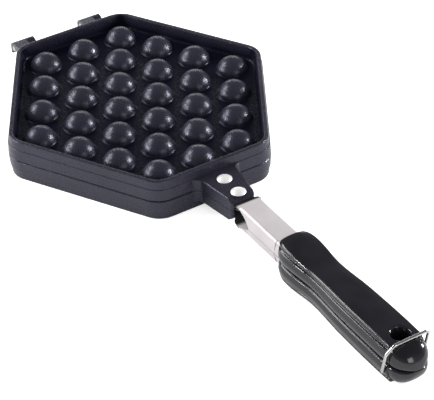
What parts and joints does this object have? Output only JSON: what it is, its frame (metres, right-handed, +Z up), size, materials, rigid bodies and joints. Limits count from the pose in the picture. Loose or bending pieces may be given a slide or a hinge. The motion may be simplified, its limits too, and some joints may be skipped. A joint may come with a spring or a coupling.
{
  "type": "egg waffle pan",
  "caption": "Hinged hexagonal stovetop pan for egg waffles: two cast non-stick plates with round cups, split handle with steel necks and glossy grips, and a wire latch.",
  "frame": {"origin": "middle of the footprint, on the surface that the pan lies on", "axes": "+X along the handle, away from the hinge; +Z up, square to the plates; +Y completes the set"},
  "size_m": [0.4018, 0.1786, 0.0286],
  "materials": {
    "nonstick_cast": "cast aluminium under a satin charcoal non-stick coating",
    "neck_steel": "pressed stainless steel strap, brushed along its length",
    "rivet_aluminium": "bright bare rivet heads",
    "pin_steel": "plain steel pin",
    "grip_plastic": "glossy black heat-resistant phenolic plastic",
    "screw_steel": "zinc-plated steel screw",
    "insert_brass": "brass sleeve",
    "bail_wire": "bright drawn steel wire"
  },
  "bodies": {
    "lower": {"lower_plate": "nonstick_cast", "hinge_pin_left": "pin_steel", "hinge_pin_right": "pin_steel", "lower_neck": "neck_steel", "lower_rivet_inner": "rivet_aluminium", "lower_rivet_outer": "rivet_aluminium", "lower_grip": "grip_plastic", "lower_screw_front": "screw_steel", "lower_screw_rear": "screw_steel", "lower_insert_front": "insert_brass", "lower_insert_rear": "insert_brass"},
    "upper": {"upper_plate": "nonstick_cast", "upper_neck": "neck_steel", "upper_rivet_inner": "rivet_aluminium", "upper_rivet_outer": "rivet_aluminium", "upper_grip": "grip_plastic", "upper_screw_front": "screw_steel", "upper_screw_rear": "screw_steel", "upper_insert_front": "insert_brass", "upper_insert_rear": "insert_brass"},
    "latch": {"latch_bail": "bail_wire"}
  },
  "joints": [
    {"name": "lid_hinge", "type": "hinge", "parent": "lower", "child": "upper", "pos_m": [-0.19675, 0, 0.0137], "axis": [0, -1, 0], "range_deg": [0, 180]},
    {"name": "latch_swing", "type": "hinge", "parent": "lower", "child": "latch", "pos_m": [0.18655, 0, 0.0082], "axis": [0, 1, 0], "range_deg": [0, 110]}
  ]
}
